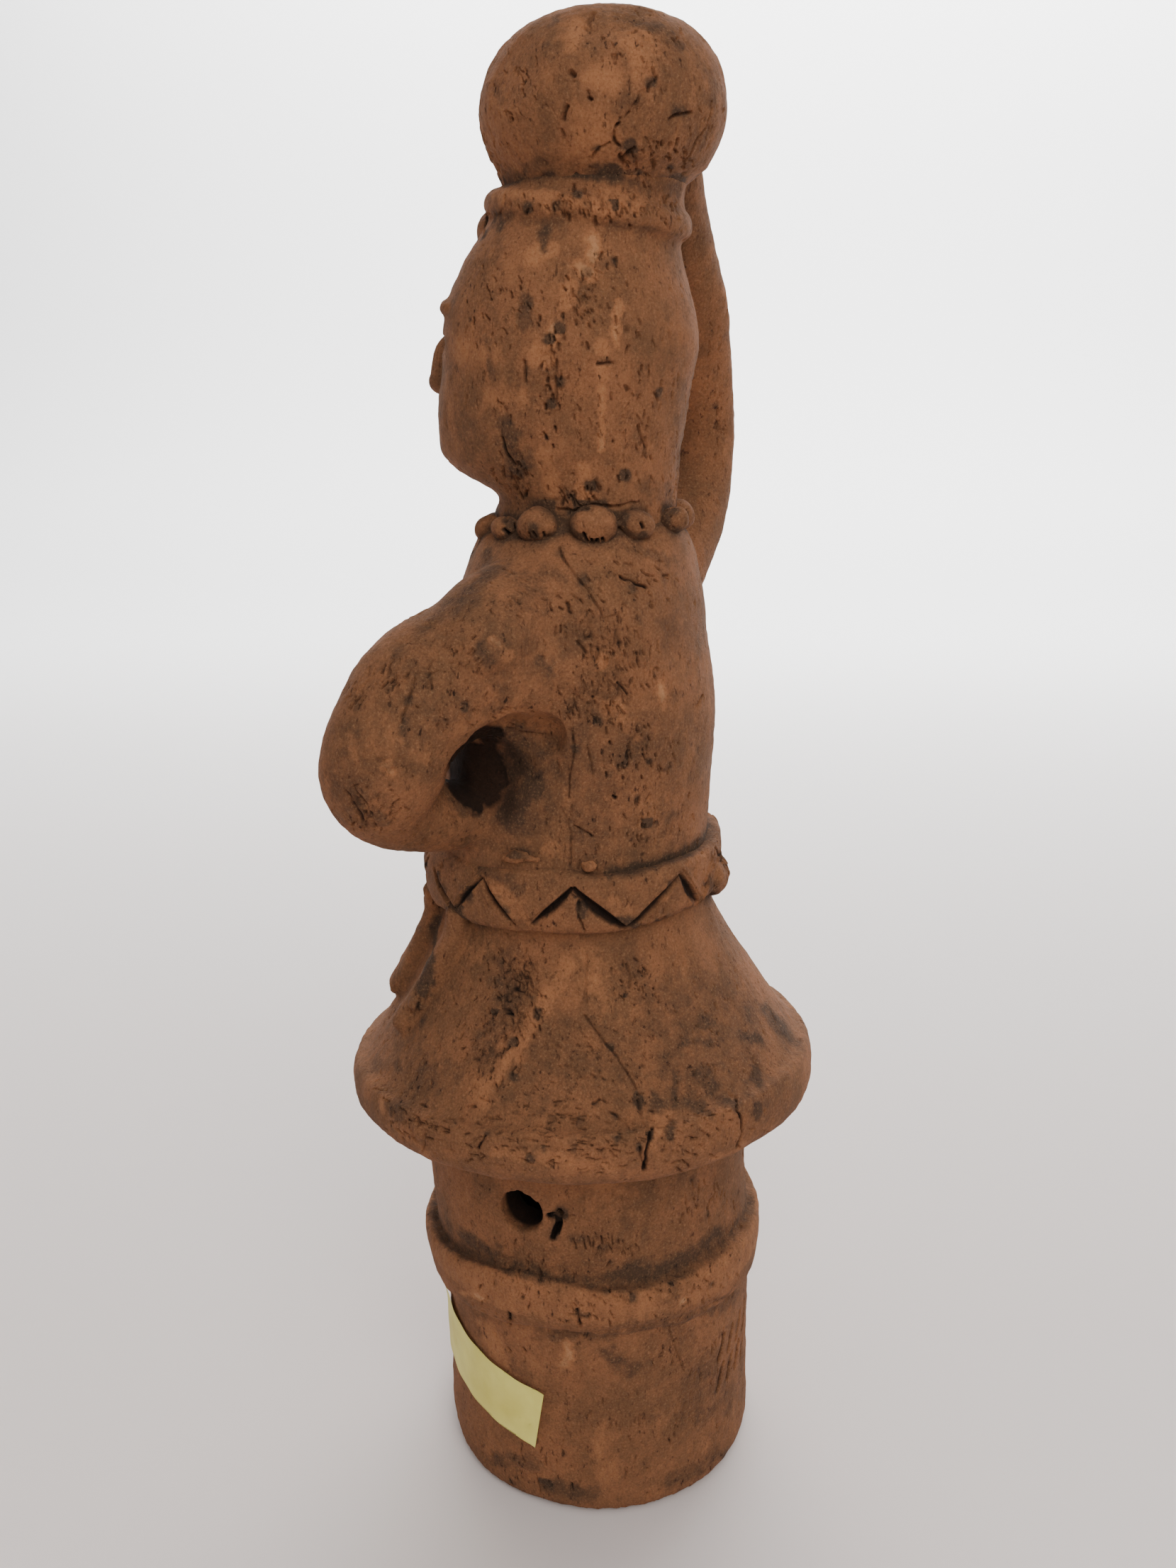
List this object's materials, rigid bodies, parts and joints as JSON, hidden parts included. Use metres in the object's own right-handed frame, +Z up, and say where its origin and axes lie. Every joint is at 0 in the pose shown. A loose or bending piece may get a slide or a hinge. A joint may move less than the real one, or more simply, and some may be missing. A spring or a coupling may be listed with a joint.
{
  "type": "haniwa figure",
  "caption": "Hollow fired clay haniwa figure of a woman carrying a jar on her head, one arm raised and one bent, on a round flanged pedestal with a blank paper label.",
  "frame": {"origin": "on the ground, under the middle of the figure's outline", "axes": "+Z up from the foot to the jar, -Y the way the face looks, +X towards the figure's own left, the bent arm"},
  "size_m": [0.0994, 0.0908, 0.2665],
  "materials": {
    "terracotta": "unglazed, rough and smoke-stained",
    "yellow_paper": "smooth, slightly shiny"
  },
  "bodies": {
    "root": {"figure": "terracotta", "paper_label": "yellow_paper"}
  },
  "joints": []
}
